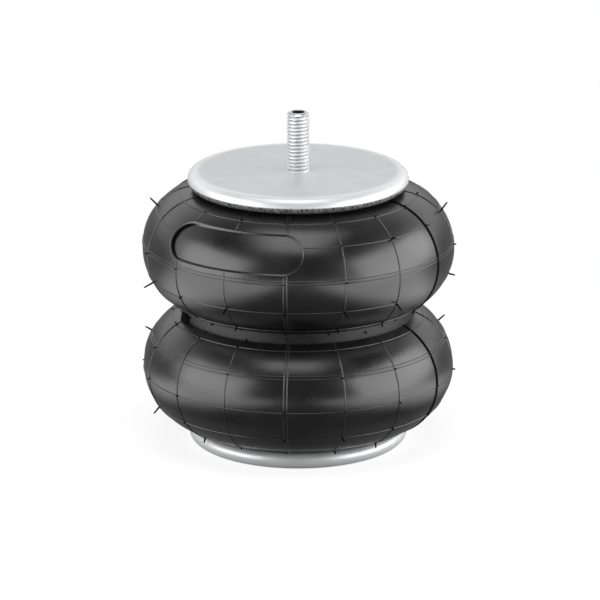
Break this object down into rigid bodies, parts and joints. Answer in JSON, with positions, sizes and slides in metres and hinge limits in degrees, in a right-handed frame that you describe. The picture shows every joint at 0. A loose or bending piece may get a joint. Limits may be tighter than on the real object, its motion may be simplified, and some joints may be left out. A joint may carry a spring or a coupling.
{
  "type": "air suspension spring",
  "caption": "Double convoluted rubber air spring with crimped steel bead plates, a hollow threaded stud that carries the air inlet, and blind nuts below.",
  "frame": {"origin": "centre of the lower plate's underside, on the common axis", "axes": "+Z is the spring's axis, from the lower plate to the stud; the two blind nuts of the lower plate lie along X"},
  "size_m": [0.224, 0.224, 0.243],
  "materials": {
    "zinc_plate": "bright zinc plated, slightly dull on the flat faces",
    "zinc_stud": "bright zinc plated thread",
    "bare_steel": "machined and oiled",
    "weld": "rough fillet weld",
    "bead_wire": "bronze coated steel wire",
    "bellows_rubber": "satin black moulded rubber",
    "bumper_rubber": "matt black rubber",
    "liner_rubber": "smooth black rubber",
    "cord_fabric": "rubbered cord fabric"
  },
  "bodies": {
    "lower_mount": {"lower_bead_plate": "zinc_plate", "blind_nut_left": "bare_steel", "blind_nut_right": "bare_steel", "nut_welds": "weld", "bumper_stud": "bare_steel", "bumper_base_disc": "bare_steel", "bumper": "bumper_rubber", "bumper_washer": "bare_steel", "bumper_nut": "bare_steel", "lower_bead": "bellows_rubber", "lower_bead_wire": "bead_wire"},
    "lower_bellows": {"lower_cover": "bellows_rubber", "lower_outer_ply": "cord_fabric", "lower_inner_ply": "cord_fabric", "lower_liner": "liner_rubber"},
    "girdle": {"waist_band": "bellows_rubber", "girdle_hoop": "bead_wire"},
    "upper_bellows": {"upper_cover": "bellows_rubber", "upper_outer_ply": "cord_fabric", "upper_inner_ply": "cord_fabric", "upper_liner": "liner_rubber"},
    "upper_mount": {"upper_bead": "bellows_rubber", "upper_bead_wire": "bead_wire", "upper_bead_plate": "zinc_plate", "air_inlet_stud": "zinc_stud", "stud_weld": "weld"}
  },
  "joints": [
    {"name": "lower_tilt", "type": "hinge", "parent": "lower_mount", "child": "lower_bellows", "pos_m": [0, 0, 0.022], "axis": [0, 1, 0], "range_deg": [-6, 6], "stiffness_Nm_per_rad": 40},
    {"name": "lower_stroke", "type": "slide", "parent": "lower_bellows", "child": "girdle", "axis": [0, 0, 1], "range_m": [-0.038, 0.018], "stiffness_N_per_m": 8000, "deforming": ["lower_cover", "lower_outer_ply", "lower_inner_ply", "lower_liner"]},
    {"name": "upper_stroke", "type": "slide", "parent": "girdle", "child": "upper_bellows", "axis": [0, 0, 1], "range_m": [-0.038, 0.018], "stiffness_N_per_m": 8000, "deforming": ["upper_cover", "upper_outer_ply", "upper_inner_ply", "upper_liner"]},
    {"name": "upper_tilt", "type": "hinge", "parent": "upper_bellows", "child": "upper_mount", "pos_m": [0, 0, 0.178], "axis": [0, 1, 0], "range_deg": [-6, 6], "stiffness_Nm_per_rad": 40}
  ],
  "couplings": [
    {"joint": "upper_stroke", "follows": "lower_stroke", "ratio": 1},
    {"joint": "upper_tilt", "follows": "lower_tilt", "ratio": 1}
  ]
}
